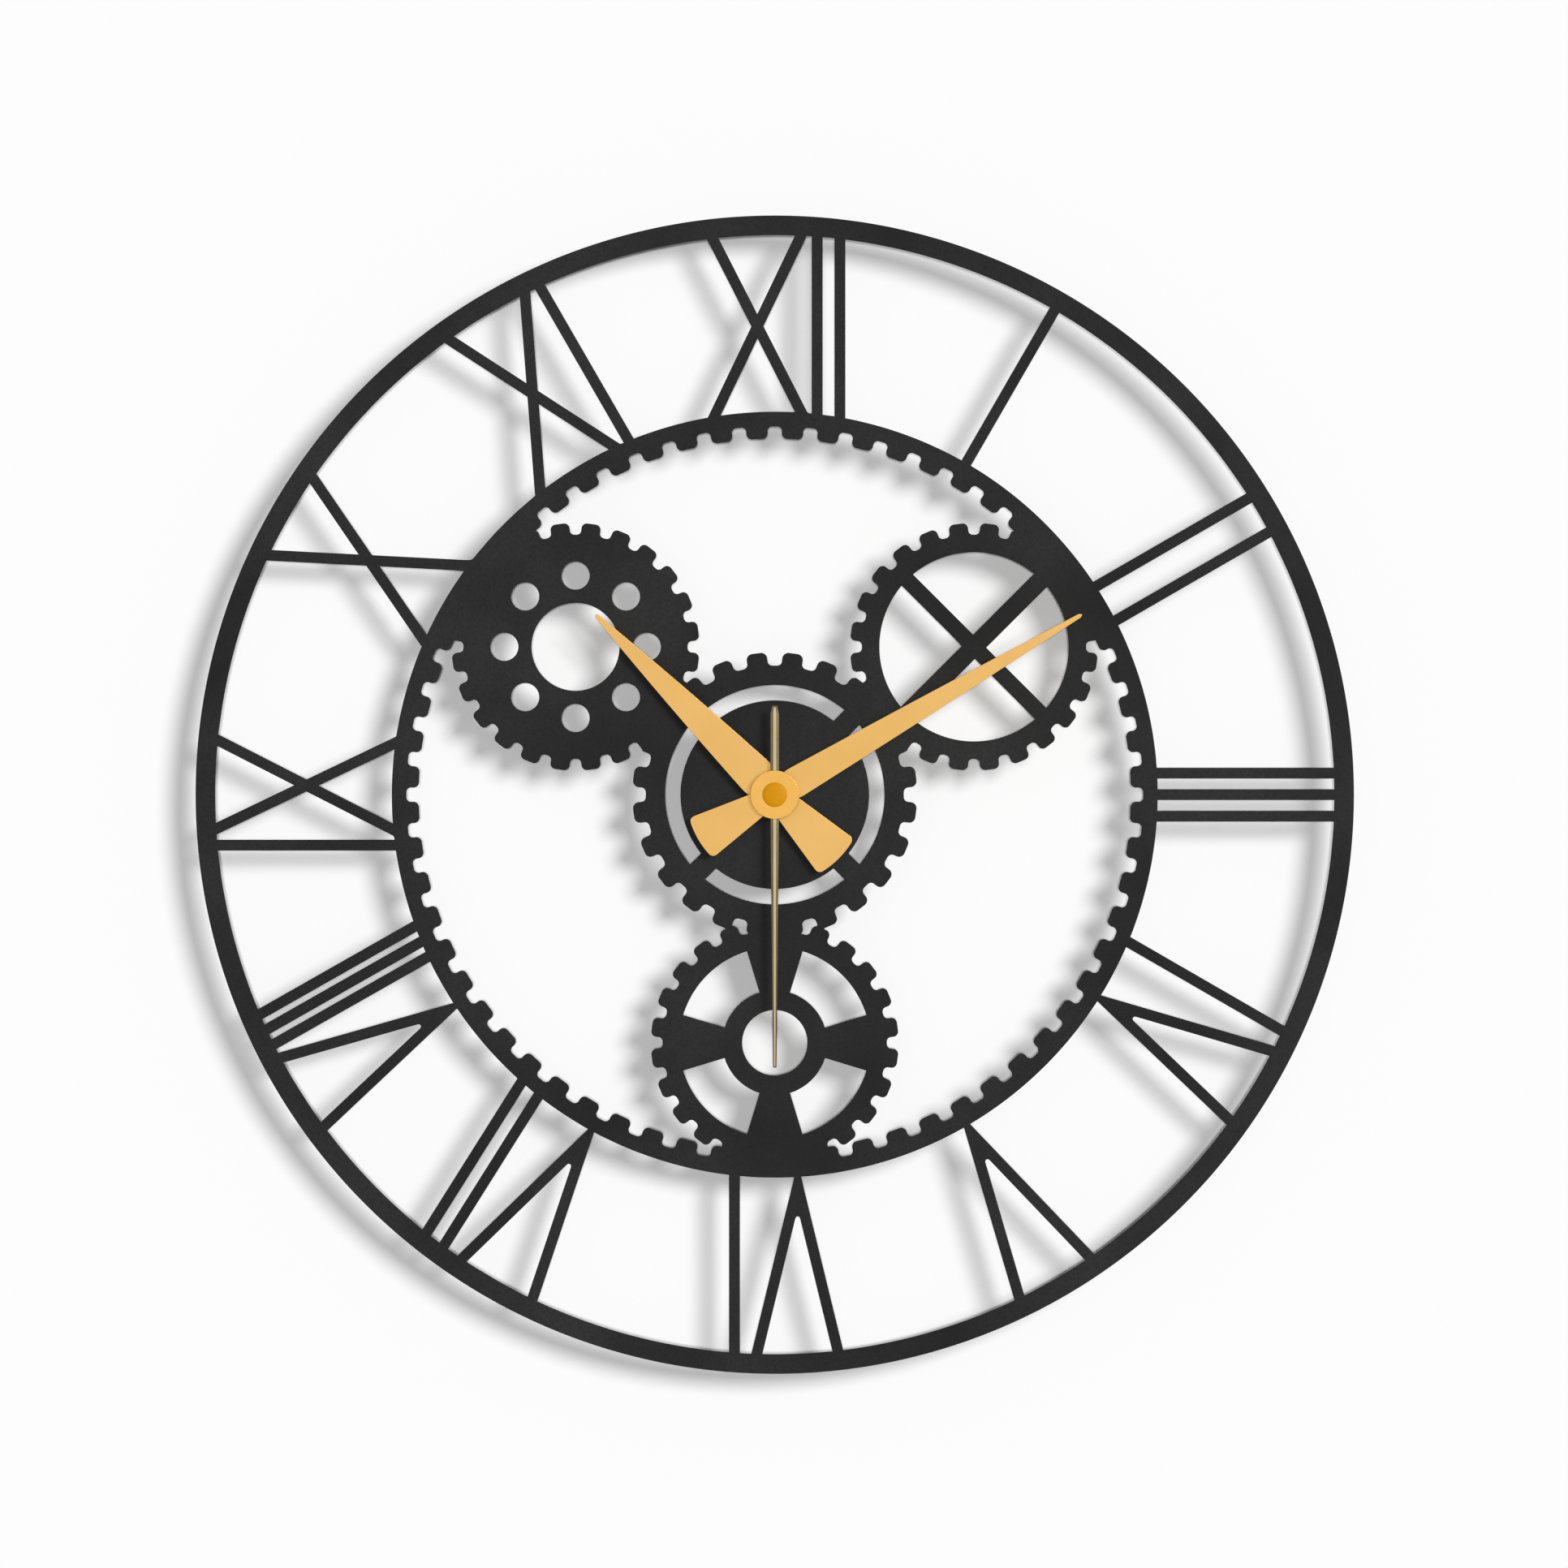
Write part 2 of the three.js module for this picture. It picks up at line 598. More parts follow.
function crossGear() {
  const reach = outerGearRoot - CROSS_RIM;
  const windows = cut(
    throughSheet(circle(reach, LARGE_SIDES)),
    bar(45, outerGearRoot, CROSS_WIDE_SPOKE),
    bar(-45, outerGearRoot, CROSS_NARROW_SPOKE),
  );
  return cut(outerTeeth(), windows);
}

function spokedGear() {
  const reach = outerGearRoot - WHEEL_RIM;
  const outside = reach / Math.cos(radians(WHEEL_SPOKE_ANGLE / 2));
  const spokes = [];
  for (let count = 0; count < WHEEL_SPOKES; count += 1) {
    const angle = (count * 360) / WHEEL_SPOKES;
    spokes.push(throughSheet([
      point(0, 0),
      dialPoint(angle + WHEEL_SPOKE_ANGLE / 2, outside),
      dialPoint(angle - WHEEL_SPOKE_ANGLE / 2, outside),
    ]));
  }
  const hub = throughSheet(circle(WHEEL_HUB_RADIUS, MIDDLE_SIDES));
  const windows = cut(throughSheet(circle(reach, LARGE_SIDES)), hub, ...spokes);
  return cut(outerTeeth(), windows, throughSheet(circle(WHEEL_HUB_HOLE_RADIUS, MIDDLE_SIDES)));
}

// A solid web between two toothed outlines. Each end is given by an angle on its first tooth,
// one on its last and a radius inside the metal there, about its own centre.
const webRingRadius = ringRoot + RING_BAND * 0.6;
function web(first, second) {
  const corners = ({ centre, from, to, radius }) =>
    [from, to].map((angle) => dialPoint(angle, radius).add(centre));
  return inSheet([...corners(first), ...corners(second)]);
}

// Angles just past the middles of the first and last tooth of a run that starts after a given gap
function toothRun(teeth, firstGap, count) {
  const pitch = 360 / teeth;
  const inset = 0.5 - WEB_OVERRUN;
  return { from: (firstGap + inset) * pitch, to: (firstGap + count - inset) * pitch };
}

function mirrored(run) {
  return { from: -run.from, to: -run.to };
}

function sideWebs(side) {
  const centre = dialPoint(side * OUTER_GEAR_ANGLE, outerGearDistance);
  const turnTo = (run) => (side > 0 ? run : mirrored(run));
  const middle = point(0, 0);
  const ringEnd = turnTo(toothRun(RING_TEETH, 7, SIDE_WEB_RING_TEETH));
  const outerEnd = turnTo(toothRun(OUTER_GEAR_TEETH, 1, SIDE_WEB_OUTER_TEETH));
  const innerEnd = turnTo(toothRun(OUTER_GEAR_TEETH, 14, SIDE_WEB_CENTRE_TEETH));
  const centreEnd = turnTo(toothRun(CENTRE_TEETH, 2, SIDE_WEB_CENTRE_TEETH));
  const flipped = (run) => ({ from: run.to, to: run.from });
  return [
    web({ centre: middle, radius: webRingRadius, ...ringEnd },
      { centre, radius: outerGearRoot, ...flipped(outerEnd) }),
    web({ centre: middle, radius: centreRoot, ...centreEnd },
      { centre, radius: outerGearRoot, ...innerEnd }),
  ];
}

// Beside the lower gear's upper web, a narrow neck joins the next tooth on each side
function lowerWebs() {
  const centre = dialPoint(180, outerGearDistance);
  const middle = point(0, 0);
  const half = LOWER_WEB_RING_TEETH / 2;
  const ringEnd = toothRun(RING_TEETH, RING_TEETH / 2 - half, LOWER_WEB_RING_TEETH);
  const outerEnd = toothRun(OUTER_GEAR_TEETH, OUTER_GEAR_TEETH / 2 - half, LOWER_WEB_RING_TEETH);
  const upperHalf = LOWER_WEB_CENTRE_TEETH / 2;
  const innerEnd = toothRun(OUTER_GEAR_TEETH, -upperHalf, LOWER_WEB_CENTRE_TEETH);
  const centreEnd = toothRun(CENTRE_TEETH, CENTRE_TEETH / 2 - upperHalf, LOWER_WEB_CENTRE_TEETH);
  const innerNext = toothRun(OUTER_GEAR_TEETH, upperHalf, 1);
  const centreNext = toothRun(CENTRE_TEETH, CENTRE_TEETH / 2 - upperHalf - 1, 1);
  const neck = (turnTo) => web({ centre: middle, radius: centreRoot, ...turnTo(centreNext) },
    { centre, radius: outerGearRoot, ...turnTo(innerNext) });
  return [
    neck((run) => run),
    neck(mirrored),
    web({ centre: middle, radius: webRingRadius, ...ringEnd },
      { centre, radius: outerGearRoot, from: outerEnd.to, to: outerEnd.from }),
    web({ centre: middle, radius: centreRoot, ...centreEnd },
      { centre, radius: outerGearRoot, ...innerEnd }),
  ];
}

function dialPlate() {
  const at = (solid, angle) => {
    const centre = dialPoint(angle, outerGearDistance);
    return solid.translate([centre.x, centre.y, 0]);
  };
  const rim = cut(inSheet(circle(dialRadius, FINE_SIDES)), throughSheet(circle(rimInner, FINE_SIDES)));
  const sheet = join(
    rim,
    ...numerals.map(numeral),
    gearRing(),
    centreGear(),
    at(drilledGear(), -OUTER_GEAR_ANGLE),
    at(crossGear(), OUTER_GEAR_ANGLE),
    at(spokedGear(), 180),
    ...sideWebs(-1),
    ...sideWebs(1),
    ...lowerWebs(),
  );
  return cut(sheet, throughSheet(circle(BUSH_RADIUS + SHEET_HOLE_CLEARANCE, ROUND_SIDES)));
}

addPart('dial_plate', dialPlate(), materials.blackSheet);

// Meshing wheels: fine pointed teeth on the wheels and flat-topped leaves on the pinions, as
// [share of the tooth's height, share of the pitch]. They are thin enough to run without binding.
const WHEEL_TEETH_FORM = { addendum: 0.9, dedendum: 1.6, shares: [[0, -0.5], [1, 0]] };
const PINION_TEETH_FORM = {
  addendum: 0.7, dedendum: 1.3, shares: [[0, -0.27], [1, -0.1], [1, 0.1], [0, 0.27]],
};

const pitchRadius = (teeth, size) => (teeth * size) / 2;
const tipRadius = (teeth, size, form) => pitchRadius(teeth, size) + form.addendum * size;

// Phase is the angle of one tooth's middle, in degrees anticlockwise from the x axis
function gear({ teeth, size, phase = 0, form, span, centre = point(0, 0) }) {
  const root = pitchRadius(teeth, size) - form.dedendum * size;
  const tip = tipRadius(teeth, size, form);
  const outline = [];
  for (let count = 0; count < teeth; count += 1) {
    for (const [rise, share] of form.shares) {
      const angle = phase + ((count + share) * 360) / teeth;
      outline.push(polar(angle, root + rise * (tip - root)).add(centre));
    }
  }
  return slab(outline, ...span);
}

// Phase that sets a gap of the second gear against a tooth of the first on the line between them
const meshPhase = (phase, teeth, otherTeeth, direction) =>
  direction + 180 - (teeth / otherTeeth) * (phase - direction) + 180 / otherTeeth;

const middle = point(0, 0);
const spacing = (teeth, otherTeeth, size) => ((teeth + otherTeeth) * size) / 2;
const fifthDistance = spacing(FIFTH_PINION_TEETH, SECOND_WHEEL_TEETH, SECOND_MODULE);
const thirdDistance = spacing(SECOND_PINION_TEETH, THIRD_WHEEL_TEETH, THIRD_MODULE);
const minuteDistance = spacing(MINUTE_PINION_TEETH, MINUTE_WHEEL_TEETH, MINUTE_MODULE);
const centreModule = (2 * thirdDistance) / (THIRD_PINION_TEETH + CENTRE_WHEEL_TEETH);
const hourModule = (2 * minuteDistance) / (MINUTE_WHEEL_PINION_TEETH + HOUR_WHEEL_TEETH);
const fifthAt = polar(FIFTH_DIRECTION, fifthDistance);
const rotorDistance = spacing(ROTOR_PINION_TEETH, FIFTH_WHEEL_TEETH, ROTOR_MODULE);
const rotorAt = polar(ROTOR_DIRECTION, rotorDistance).add(fifthAt);
const thirdAt = polar(THIRD_DIRECTION, thirdDistance);
const minuteAt = polar(MINUTE_WHEEL_DIRECTION, minuteDistance);
const knobDistance = spacing(KNOB_PINION_TEETH, MINUTE_WHEEL_TEETH, MINUTE_MODULE);
const knobAt = polar(KNOB_DIRECTION, knobDistance).add(minuteAt);

const secondWheelTip = tipRadius(SECOND_WHEEL_TEETH, SECOND_MODULE, WHEEL_TEETH_FORM);
const centreWheelTip = tipRadius(CENTRE_WHEEL_TEETH, centreModule, WHEEL_TEETH_FORM);
const hourWheelTip = tipRadius(HOUR_WHEEL_TEETH, hourModule, WHEEL_TEETH_FORM);
const thirdWheelTip = tipRadius(THIRD_WHEEL_TEETH, THIRD_MODULE, WHEEL_TEETH_FORM);
const minuteWheelTip = tipRadius(MINUTE_WHEEL_TEETH, MINUTE_MODULE, WHEEL_TEETH_FORM);
const pivotHole = PIVOT_RADIUS + PIVOT_CLEARANCE;

// Posts that carry the train bridge, each just clear of the wheel beside it
const besideThird = thirdWheelTip + RUN_GAP * 2 + BRIDGE_POST_RADIUS;
const besideMinute = minuteWheelTip + RUN_GAP * 2 + BRIDGE_POST_RADIUS;
const bridgePosts = [
  polar(110, besideThird).add(thirdAt),
  polar(80, besideMinute).add(minuteAt),
  polar(-75, besideMinute).add(minuteAt),
  polar(-105, besideThird).add(thirdAt),
];
const bridgeLeft = Math.min(...bridgePosts.map((post) => post.x)) - BRIDGE_MARGIN;
const bridgeRight = Math.max(...bridgePosts.map((post) => post.x)) + BRIDGE_MARGIN;
const bridgeLow = Math.min(...bridgePosts.map((post) => post.y)) - BRIDGE_MARGIN;
const bridgeHigh = Math.max(rotorAt.y, ...bridgePosts.map((post) => post.y)) + BRIDGE_MARGIN;

// Battery bay below the train, the coil above it, and the case round them all
const widestWheel = Math.max(secondWheelTip, centreWheelTip, hourWheelTip);
const bayWallTop = Math.min(-widestWheel - 2 * RUN_GAP, bridgeLow);
const bayTop = bayWallTop - BAY_WALL;
const batteryRadius = BATTERY_DIAMETER / 2;
const batteryY = bayTop - BATTERY_SIDE_GAP - batteryRadius;
const batteryZ = caseInner - BATTERY_SIDE_GAP - batteryRadius;
const bayBottom = batteryY - batteryRadius - BATTERY_SIDE_GAP;
const wellRadius = KNOB_RADIUS + KNOB_WELL_GAP;
const wellOuter = wellRadius + KNOB_WELL_WALL;
const batteryLength = BATTERY_BODY_LENGTH + BATTERY_BUTTON_LENGTH;
const contactSpace = 2 * CONTACT_THICKNESS + CONTACT_BUMP_HEIGHT + CONTACT_LEAF_RISE;
const bayLength = batteryLength + contactSpace + 2 * BATTERY_END_GAP;
const innerHalf = Math.max(bayLength / 2, knobAt.x + wellOuter + RUN_GAP);
const statorHole = MAGNET_RADIUS + STATOR_GAP;
const statorTop = Math.max(rotorAt.y + statorHole + STATOR_RIM, bridgeHigh);
const coilY = statorTop + RUN_GAP + BOBBIN_FLANGE_RADIUS;
const innerTop = coilY + BOBBIN_FLANGE_RADIUS + 2 * RUN_GAP;
const caseHalf = innerHalf + CASE_WALL;
const caseTop = innerTop + CASE_WALL;
const caseBottom = bayBottom - CASE_WALL;

function roundedBox(left, right, low, high, radius) {
  const corners = [[right, high], [left, high], [left, low], [right, low]];
  const outline = [];
  corners.forEach(([x, y], count) => {
    const centre = point(x - Math.sign(x - left - 1) * radius, y - Math.sign(y - low - 1) * radius);
    for (let step = 0; step <= CORNER_STEPS; step += 1) {
      const angle = count * QUARTER + (step * QUARTER) / CORNER_STEPS;
      outline.push(point(centre.x + Math.cos(angle) * radius, centre.y + Math.sin(angle) * radius));
    }
  });
  return outline;
}

// Circuit board: a strip up the left wall and an arm along the bay wall
const statorLeft = rotorAt.x - BOBBIN_LENGTH / 2 - STATOR_EAR_WIDTH - RUN_GAP;
const statorRight = rotorAt.x + BOBBIN_LENGTH / 2 + STATOR_EAR_WIDTH + RUN_GAP;
const statorFront = bridgeBack;
const statorBack = statorFront - STATOR_THICKNESS;
const boardBack = coverFront + BOARD_BACK_GAP;
const boardFront = boardBack + BOARD_THICKNESS;
const boardHalf = innerHalf - CONTACT_THICKNESS - BOARD_EDGE_GAP;
const boardStripRight = Math.min(statorLeft, bridgeLeft, thirdAt.x - thirdWheelTip) - 2 * RUN_GAP;
const boardLow = bayWallTop + BOARD_EDGE_GAP;
const boardArmTop = boardLow + BOARD_ARM_HEIGHT;
const boardHigh = coilY - BOBBIN_FLANGE_RADIUS;
const boardMiddle = (boardStripRight - boardHalf) / 2;
const boardPosts = [
  point(boardMiddle, boardHigh - 2 * BOARD_POST_RADIUS),
  point(boardMiddle, boardLow + 2 * BOARD_POST_RADIUS),
  point(boardHalf - 2 * BOARD_POST_RADIUS, boardLow + BOARD_ARM_HEIGHT / 2),
];

// The outside of case and tray, cut to the part between two heights
function caseBlock(low, high) {
  const outline = roundedBox(-caseHalf, caseHalf, caseBottom, caseTop, CASE_CORNER_RADIUS);
  return cut(slab(outline, 0, caseFront),
    block(-caseHalf - 1, caseHalf + 1, caseBottom - 1, low, -1, caseFront + 1),
    block(-caseHalf - 1, caseHalf + 1, high, caseTop + 1, -1, caseFront + 1));
}

// Movement case: a box for the train, open at the back, with the posts that carry bridge and board
function movementCase() {
  const trainRoom = block(-innerHalf, innerHalf, bayWallTop, innerTop, -1, caseInner);
  const coverSeat = block(-caseHalf - 1, caseHalf + 1, bayTop - 1, caseTop + 1, -1, coverFront);
  const tabNotch = (side) => {
    const inner = side * (innerHalf - 2 * CONTACT_THICKNESS);
    const outer = side * innerHalf;
    const reach = boardFront + CONTACT_TAB_WIDTH;
    return block(Math.min(inner, outer), Math.max(inner, outer), bayTop - 1, bayWallTop + 1, -1, reach);
  };
  const bushHole = disc(BUSH_RADIUS + FIT_GAP, caseInner - 1, caseFront + 1);
  const shell = cut(caseBlock(bayTop, caseTop), trainRoom, coverSeat, tabNotch(-1), tabNotch(1), bushHole);
  const root = caseInner + CASE_FRONT_WALL / 2;
  const posts = [
    ...bridgePosts.map((at) => disc(BRIDGE_POST_RADIUS, bridgeFront, root, at, SMALL_SIDES)),
    ...bridgePosts.map((at) => disc(BRIDGE_PIN_RADIUS, bridgeBack, root, at, SMALL_SIDES)),
    ...boardPosts.map((at) => disc(BOARD_POST_RADIUS, boardFront, root, at, SMALL_SIDES)),
    disc(MINUTE_POST_RADIUS, minuteLevel, root, minuteAt, SMALL_SIDES),
    disc(PIVOT_BOSS_RADIUS, minuteLevel - FIT_GAP, root, thirdAt, SMALL_SIDES),
    disc(PIVOT_BOSS_RADIUS, hourLevel, root, knobAt, SMALL_SIDES),
  ];
  return cut(join(shell, ...posts),
    disc(pivotHole, minuteLevel - 1, caseInner - RUN_GAP, thirdAt, SMALL_SIDES),
    disc(pivotHole, hourLevel - 1, caseInner, knobAt, SMALL_SIDES));
}

addPart('movement_case', movementCase(), materials.blackPlastic);

// Battery tray: it stands against the lower wall of the case, and a notch lets a finger lift the cell out
function batteryTray() {
  const bay = block(-innerHalf, innerHalf, bayBottom, bayTop + 1, -1, caseInner);
  const half = NOTCH_WIDTH / 2;
  const fingerNotch = block(-half, half, caseBottom - 1, bayBottom + 1, -1, NOTCH_DEPTH);
  return cut(caseBlock(caseBottom, bayTop), bay, fingerNotch);
}

addPart('battery_tray', batteryTray(), materials.blackPlastic);

// Rear cover, with the knob's well and the rear pivots of rotor, fifth wheel and second wheel
const wellFloorBack = KNOB_RECESS + KNOB_THICKNESS + RUN_GAP;
const wellFloorFront = wellFloorBack + KNOB_WELL_WALL;
function rearCover() {
  const low = bayTop + COVER_GAP;
  const outline = roundedBox(-caseHalf, caseHalf, low - CASE_CORNER_RADIUS, caseTop, CASE_CORNER_RADIUS);
  const plate = cut(slab(outline, 0, coverFront - COVER_GAP / 2),
    block(-caseHalf - 1, caseHalf + 1, low - CASE_CORNER_RADIUS - 1, low, -1, coverFront + 1));
  const pivots = [rotorAt, fifthAt, middle];
  const body = join(
    plate,
    disc(wellOuter, coverFront / 2, wellFloorFront, knobAt, MIDDLE_SIDES),
    ...pivots.map((at) => disc(PIVOT_BOSS_RADIUS, coverFront / 2, pivotFront, at, SMALL_SIDES)),
  );
  return cut(
    body,
    disc(wellRadius, -1, wellFloorBack, knobAt, MIDDLE_SIDES),
    disc(KNOB_ARBOR_RADIUS + FIT_GAP, -1, wellFloorFront + 1, knobAt, SMALL_SIDES),
    ...pivots.map((at) => disc(pivotHole, coverFront, pivotFront + 1, at, SMALL_SIDES)),
  );
}

addPart('rear_cover', rearCover(), materials.blackPlastic);

// Bush, hanger, washers and nut on the centre line
const bush = cut(
  join(disc(BUSH_FLANGE_RADIUS, flangeBack, caseInner), disc(BUSH_RADIUS, flangeBack, bushFront)),
  disc(BUSH_BORE_RADIUS, flangeBack - 1, bushFront + 1),
);
addPart('threaded_bush', bush, materials.brass);

function hangerPlate() {
  const runLow = caseTop + RUN_GAP;
  const runHigh = runLow + HANGER_THICKNESS;
  const top = runHigh + HANGER_RISE;
  const tongueFront = HANGER_WALL_GAP + HANGER_THICKNESS;
  const side = [
    point(-HANGER_FOOT, caseFront), point(runLow, caseFront), point(runLow, HANGER_WALL_GAP),
    point(top, HANGER_WALL_GAP), point(top, tongueFront), point(runHigh, tongueFront),
    point(runHigh, hangerFront), point(-HANGER_FOOT, hangerFront),
  ];
  const half = HANGER_WIDTH / 2;
  const across = { depth: HANGER_WIDTH, bevelEnabled: false };
  const bent = new THREE.ExtrudeGeometry(new THREE.Shape(side), across);
  bent.rotateX(QUARTER).rotateZ(QUARTER).translate(-half, 0, 0);
  const outline = roundedBox(-half, half, -HANGER_FOOT, top, HANGER_RISE * 0.6);
  const slotMiddle = (runHigh + top) / 2;
  const slot = block(-HANGER_SLOT_WIDTH / 2, HANGER_SLOT_WIDTH / 2, slotMiddle - HANGER_SLOT_HEIGHT / 2,
    slotMiddle + HANGER_SLOT_HEIGHT / 2, 0, tongueFront + 1);
  const strip = solidOf(bent).intersect(slab(outline, 0, hangerFront));
  return cut(strip, slot, disc(BUSH_RADIUS + SHEET_HOLE_CLEARANCE, caseFront - 1, hangerFront + 1));
}

addPart('hanger_plate', hangerPlate(), materials.steel);
const washerBore = BUSH_RADIUS + SHEET_HOLE_CLEARANCE;
const rubberWasher = collar(RUBBER_WASHER_RADIUS, washerBore, hangerFront, sheetBack);
addPart('rubber_washer', rubberWasher, materials.rubber);
const flatWasher = collar(FLAT_WASHER_RADIUS, washerBore, sheetFront, nutBack);
addPart('flat_washer', flatWasher, materials.steel);
const nutCorner = NUT_ACROSS_FLATS / 2 / Math.cos(Math.PI / 6);
const nut = cut(disc(nutCorner, nutBack, nutFront, middle, 6),
  disc(BUSH_RADIUS + FIT_GAP, nutBack - 1, nutFront + 1));
addPart('hex_nut', nut, materials.brass);

// Motor: coil on its core, stator plate and rotor
const coreFront = statorBack;
const coreBack = coreFront - CORE_THICKNESS;
const coilZ = (coreFront + coreBack) / 2;
const alongX = (solid, x, y, z) => solid.rotate([0, 90, 0]).translate([x, y, z]);

function coilBobbin() {
  const half = BOBBIN_LENGTH / 2;
  const flangeInner = half - BOBBIN_FLANGE_THICKNESS;
  const spool = join(
    disc(BOBBIN_BARREL_RADIUS, -half, half, middle, ROUND_SIDES),
    disc(BOBBIN_FLANGE_RADIUS, -half, -flangeInner, middle, ROUND_SIDES),
    disc(BOBBIN_FLANGE_RADIUS, flangeInner, half, middle, ROUND_SIDES),
  );
  const coreHole = block(-CORE_THICKNESS / 2 - FIT_GAP, CORE_THICKNESS / 2 + FIT_GAP,
    -CORE_HEIGHT / 2 - FIT_GAP, CORE_HEIGHT / 2 + FIT_GAP, -half - 1, half + 1);
  return alongX(cut(spool, coreHole), rotorAt.x, coilY, coilZ);
}

addPart('coil_bobbin', coilBobbin(), materials.whitePlastic);
const windingHalf = BOBBIN_LENGTH / 2 - BOBBIN_FLANGE_THICKNESS - FIT_GAP;
const winding = collar(BOBBIN_FLANGE_RADIUS - WINDING_INSET, BOBBIN_BARREL_RADIUS + FIT_GAP,
  -windingHalf, windingHalf, middle, ROUND_SIDES);
addPart('coil_winding', alongX(winding, rotorAt.x, coilY, coilZ), materials.copper);
addPart('coil_core', block(statorLeft, statorRight, coilY - CORE_HEIGHT / 2, coilY + CORE_HEIGHT / 2,
  coreBack, coreFront), materials.darkSteel);

function statorPlate() {
  const low = rotorAt.y - STATOR_BAR_DROP;
  const earTop = coilY + CORE_HEIGHT / 2;
  const plate = block(statorLeft, statorRight, low, statorTop, statorBack, statorFront);
  const ear = (left) =>
    block(left, left + STATOR_EAR_WIDTH, low, earTop, statorBack, statorFront);
  const collarRound = disc(statorHole + STATOR_RIM, statorBack, statorFront, rotorAt);
  const rotorHole = disc(statorHole, statorBack - 1, statorFront + 1, rotorAt);
  const pinionTip = tipRadius(FIFTH_PINION_TEETH, SECOND_MODULE, PINION_TEETH_FORM);
  const pinionHole = disc(pinionTip + RUN_GAP, statorBack - 1, statorFront + 1, fifthAt);
  const ears = [ear(statorLeft), ear(statorRight - STATOR_EAR_WIDTH)];
  return cut(join(plate, ...ears, collarRound), rotorHole, pinionHole);
}

addPart('stator', statorPlate(), materials.darkSteel);

const rotorPinion = {
  teeth: ROTOR_PINION_TEETH, size: ROTOR_MODULE, form: PINION_TEETH_FORM,
  span: pinionSpan(fifthLevel), centre: rotorAt,
};
const magnetFront = bridgeBack - RUN_GAP;
const magnetBack = magnetFront - MAGNET_THICKNESS;
addPart('rotor', join(
  gear(rotorPinion),
  disc(PIVOT_RADIUS, coverFront + FIT_GAP, bridgeFront - FIT_GAP, rotorAt, SMALL_SIDES),
  disc(ARBOR_RADIUS, fifthLevel, magnetFront, rotorAt, SMALL_SIDES),
  disc(MAGNET_RADIUS, magnetBack, magnetFront, rotorAt),
), materials.darkSteel);

// Going train
const fifthPhase = meshPhase(0, ROTOR_PINION_TEETH, FIFTH_WHEEL_TEETH, ROTOR_DIRECTION + 180);
addPart('fifth_wheel', join(
  gear({
    teeth: FIFTH_WHEEL_TEETH, size: ROTOR_MODULE, phase: fifthPhase, form: WHEEL_TEETH_FORM,
    span: wheelSpan(fifthLevel), centre: fifthAt,
  }),
  gear({
    teeth: FIFTH_PINION_TEETH, size: SECOND_MODULE, form: PINION_TEETH_FORM,
    span: pinionSpan(secondLevel), centre: fifthAt,
  }),
  disc(PIVOT_RADIUS, coverFront + FIT_GAP, bridgeFront - FIT_GAP, fifthAt, SMALL_SIDES),
  disc(ARBOR_RADIUS, pivotFront + RUN_GAP, bridgeBack - RUN_GAP, fifthAt, SMALL_SIDES),
), materials.whitePlastic);

const secondPhase = meshPhase(0, FIFTH_PINION_TEETH, SECOND_WHEEL_TEETH, FIFTH_DIRECTION + 180);
const secondTip = bossBack + BOSS_THICKNESS / 4;
addPart('second_wheel', join(
  gear({
    teeth: SECOND_WHEEL_TEETH, size: SECOND_MODULE, phase: secondPhase, form: WHEEL_TEETH_FORM,
    span: wheelSpan(secondLevel),
  }),
  gear({
    teeth: SECOND_PINION_TEETH, size: THIRD_MODULE, form: PINION_TEETH_FORM,
    span: pinionSpan(thirdLevel),
  }),
  disc(PIVOT_RADIUS, coverFront + FIT_GAP, pivotFront + 1, middle, SMALL_SIDES),
  disc(SECOND_ARBOR_RADIUS, pivotFront + RUN_GAP, secondTip, middle, SMALL_SIDES),
), materials.whitePlastic);

const thirdPhase = meshPhase(0, SECOND_PINION_TEETH, THIRD_WHEEL_TEETH, THIRD_DIRECTION);
addPart('third_wheel', join(
  gear({
    teeth: THIRD_WHEEL_TEETH, size: THIRD_MODULE, phase: thirdPhase, form: WHEEL_TEETH_FORM,
    span: wheelSpan(thirdLevel), centre: thirdAt,
  }),
  gear({
    teeth: THIRD_PINION_TEETH, size: centreModule, form: PINION_TEETH_FORM,
    span: pinionSpan(centreLevel), centre: thirdAt,
  }),
  disc(PIVOT_RADIUS, bridgeBack + FIT_GAP, minuteLevel + 1, thirdAt, SMALL_SIDES),
  disc(ARBOR_RADIUS, thirdLevel, centreLevel + pinionFace, thirdAt, SMALL_SIDES),
), materials.whitePlastic);

const centrePhase = meshPhase(0, THIRD_PINION_TEETH, CENTRE_WHEEL_TEETH, THIRD_DIRECTION + 180);
addPart('centre_wheel', cut(
  gear({
    teeth: CENTRE_WHEEL_TEETH, size: centreModule, phase: centrePhase, form: WHEEL_TEETH_FORM,
    span: wheelSpan(centreLevel),
  }),
  disc(MINUTE_PIPE_RADIUS + FIT_GAP, centreLevel - 1, minuteLevel, middle),
), materials.whitePlastic);

// Dished washer that lets the minute pipe slip on the centre wheel while the hands are set
const clutchInner = MINUTE_PIPE_RADIUS + FIT_GAP;
addPart('clutch_spring', turned([
  point(clutchInner, clutchBack + CLUTCH_HEIGHT / 2), point(CLUTCH_RADIUS, clutchBack),
  point(CLUTCH_RADIUS, clutchBack + CLUTCH_HEIGHT / 2), point(clutchInner, clutchBack + CLUTCH_HEIGHT),
  point(clutchInner, clutchBack + CLUTCH_HEIGHT / 2),
]), materials.brass);

